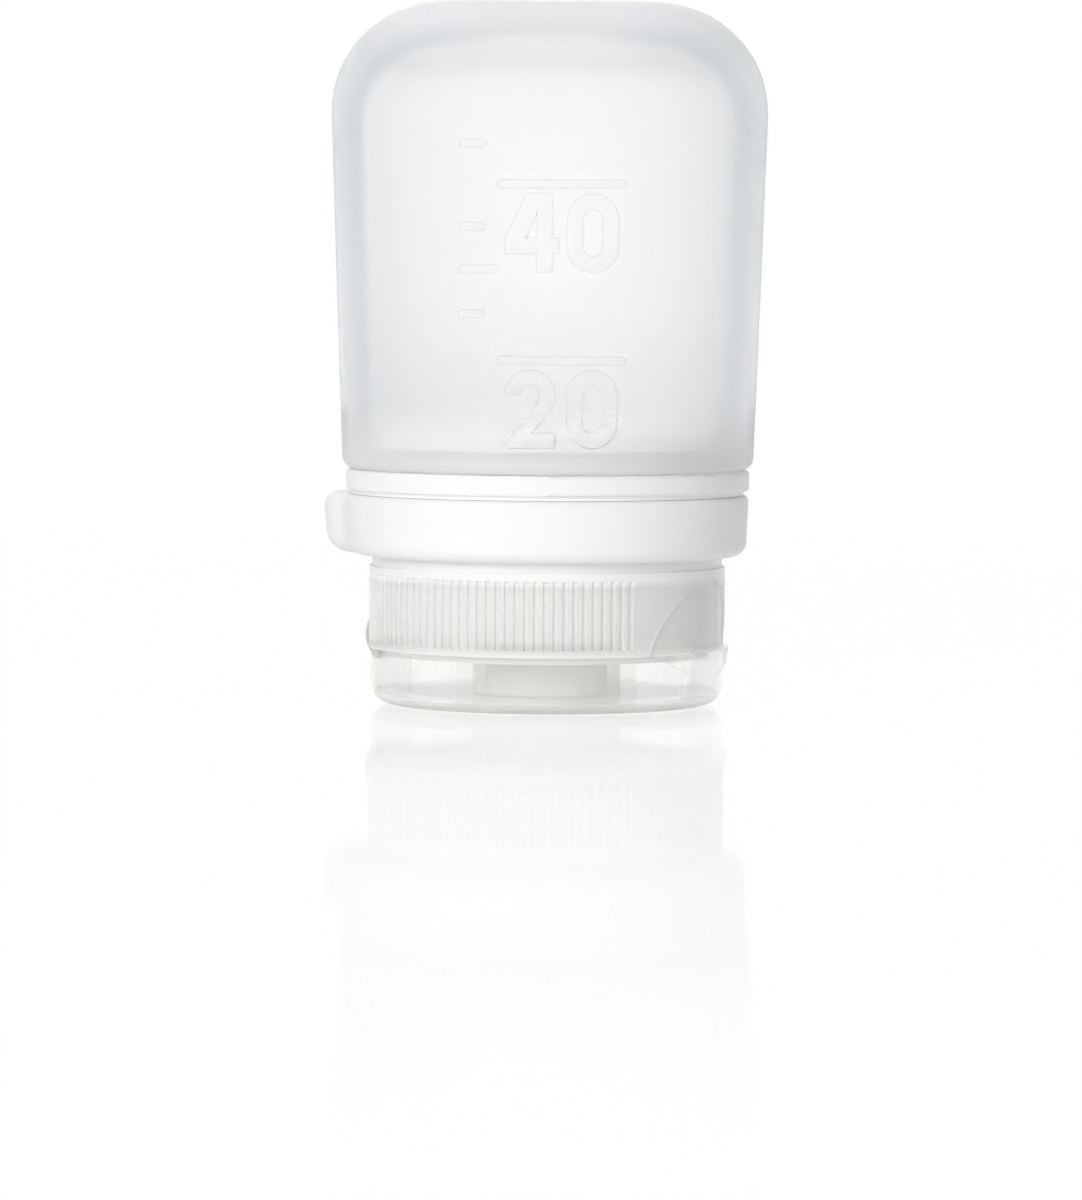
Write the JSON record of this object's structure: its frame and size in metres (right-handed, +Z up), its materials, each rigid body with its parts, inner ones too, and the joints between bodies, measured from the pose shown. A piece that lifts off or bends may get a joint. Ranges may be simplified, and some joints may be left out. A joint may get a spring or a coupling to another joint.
{
  "type": "squeeze travel bottle",
  "caption": "Soft translucent squeeze bottle standing on its screw cap: ribbed skirt, hinged clear flip lid, slit valve, clamping collar and a loop ring with a finger lobe.",
  "frame": {"origin": "centre of the flip lid's flat outer face, on the table", "axes": "+Z up along the bottle's axis to the closed end of the body, -Y towards the viewer and the marked face, +X to the viewer's right"},
  "size_m": [0.044, 0.043, 0.0696],
  "materials": {
    "frosted_silicone": "translucent, frosted",
    "natural_plastic": "milky, satin",
    "white_plastic": "white, satin",
    "seal_silicone": "milky, matt",
    "frosted_plastic": "translucent, frosted",
    "white_elastomer": "white, satin",
    "clear_plastic": "clear, polished"
  },
  "bodies": {
    "bottle": {"squeeze_body": "frosted_silicone", "neck_insert": "natural_plastic", "neck_collar": "white_plastic"},
    "seal": {"neck_gasket": "seal_silicone"},
    "cap": {"cap_base": "frosted_plastic", "slit_valve": "seal_silicone", "valve_retainer": "natural_plastic", "hinge_strap": "frosted_plastic"},
    "lid": {"flip_lid": "clear_plastic"},
    "loop": {"loop_ring": "white_elastomer"}
  },
  "joints": [
    {"name": "cap_lift", "type": "slide", "parent": "bottle", "child": "seal", "axis": [0, 0, -1], "range_m": [0, 0.00402]},
    {"name": "cap_turn", "type": "hinge", "parent": "seal", "child": "cap", "pos_m": [0, 0, 0.01], "axis": [0, 0, -1], "range_deg": [0, 450]},
    {"name": "lid_flip", "type": "hinge", "parent": "cap", "child": "lid", "pos_m": [-0.016, 0.00733, 0.00555], "axis": [0.4163, 0.9092, 0], "range_deg": [0, 150], "deforming": ["hinge_strap"]},
    {"name": "ring_spin", "type": "hinge", "parent": "cap", "child": "loop", "pos_m": [0, 0, 0.01785], "axis": [0, 0, 1], "continuous": true}
  ],
  "couplings": [
    {"joint": "cap_lift", "follows": "cap_turn", "m_per_rad": 0.0005093}
  ]
}
